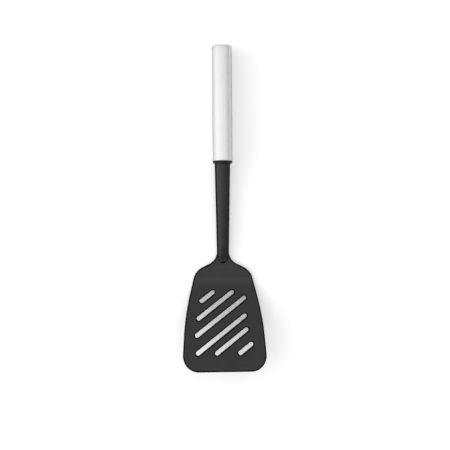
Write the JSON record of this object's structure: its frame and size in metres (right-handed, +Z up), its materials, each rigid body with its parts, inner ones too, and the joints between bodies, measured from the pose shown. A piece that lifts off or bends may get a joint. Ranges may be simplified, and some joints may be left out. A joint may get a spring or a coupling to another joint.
{
  "type": "pancake spatula",
  "caption": "Pancake spatula: a broad slotted nylon blade on a tapered shaft, set through a thin collar into a round brushed steel tube handle.",
  "frame": {"origin": "on the table under the middle of the tool's length, on its centreline, with the tool lying food side up", "axes": "+Y along the tool towards the handle's end, +X to the right seen from above, +Z up from the table"},
  "size_m": [0.0826, 0.3236, 0.0329],
  "materials": {
    "brushed_steel": "satin brushed along the handle",
    "collar_nylon": "smooth moulded",
    "core_plastic": "plain moulded, hidden inside the handle",
    "black_nylon": "fine matt moulded texture"
  },
  "bodies": {
    "root": {"handle_tube": "brushed_steel", "handle_end_cap": "brushed_steel", "collar_ring": "collar_nylon", "tang_core": "core_plastic", "spatula_head": "black_nylon"}
  },
  "joints": []
}
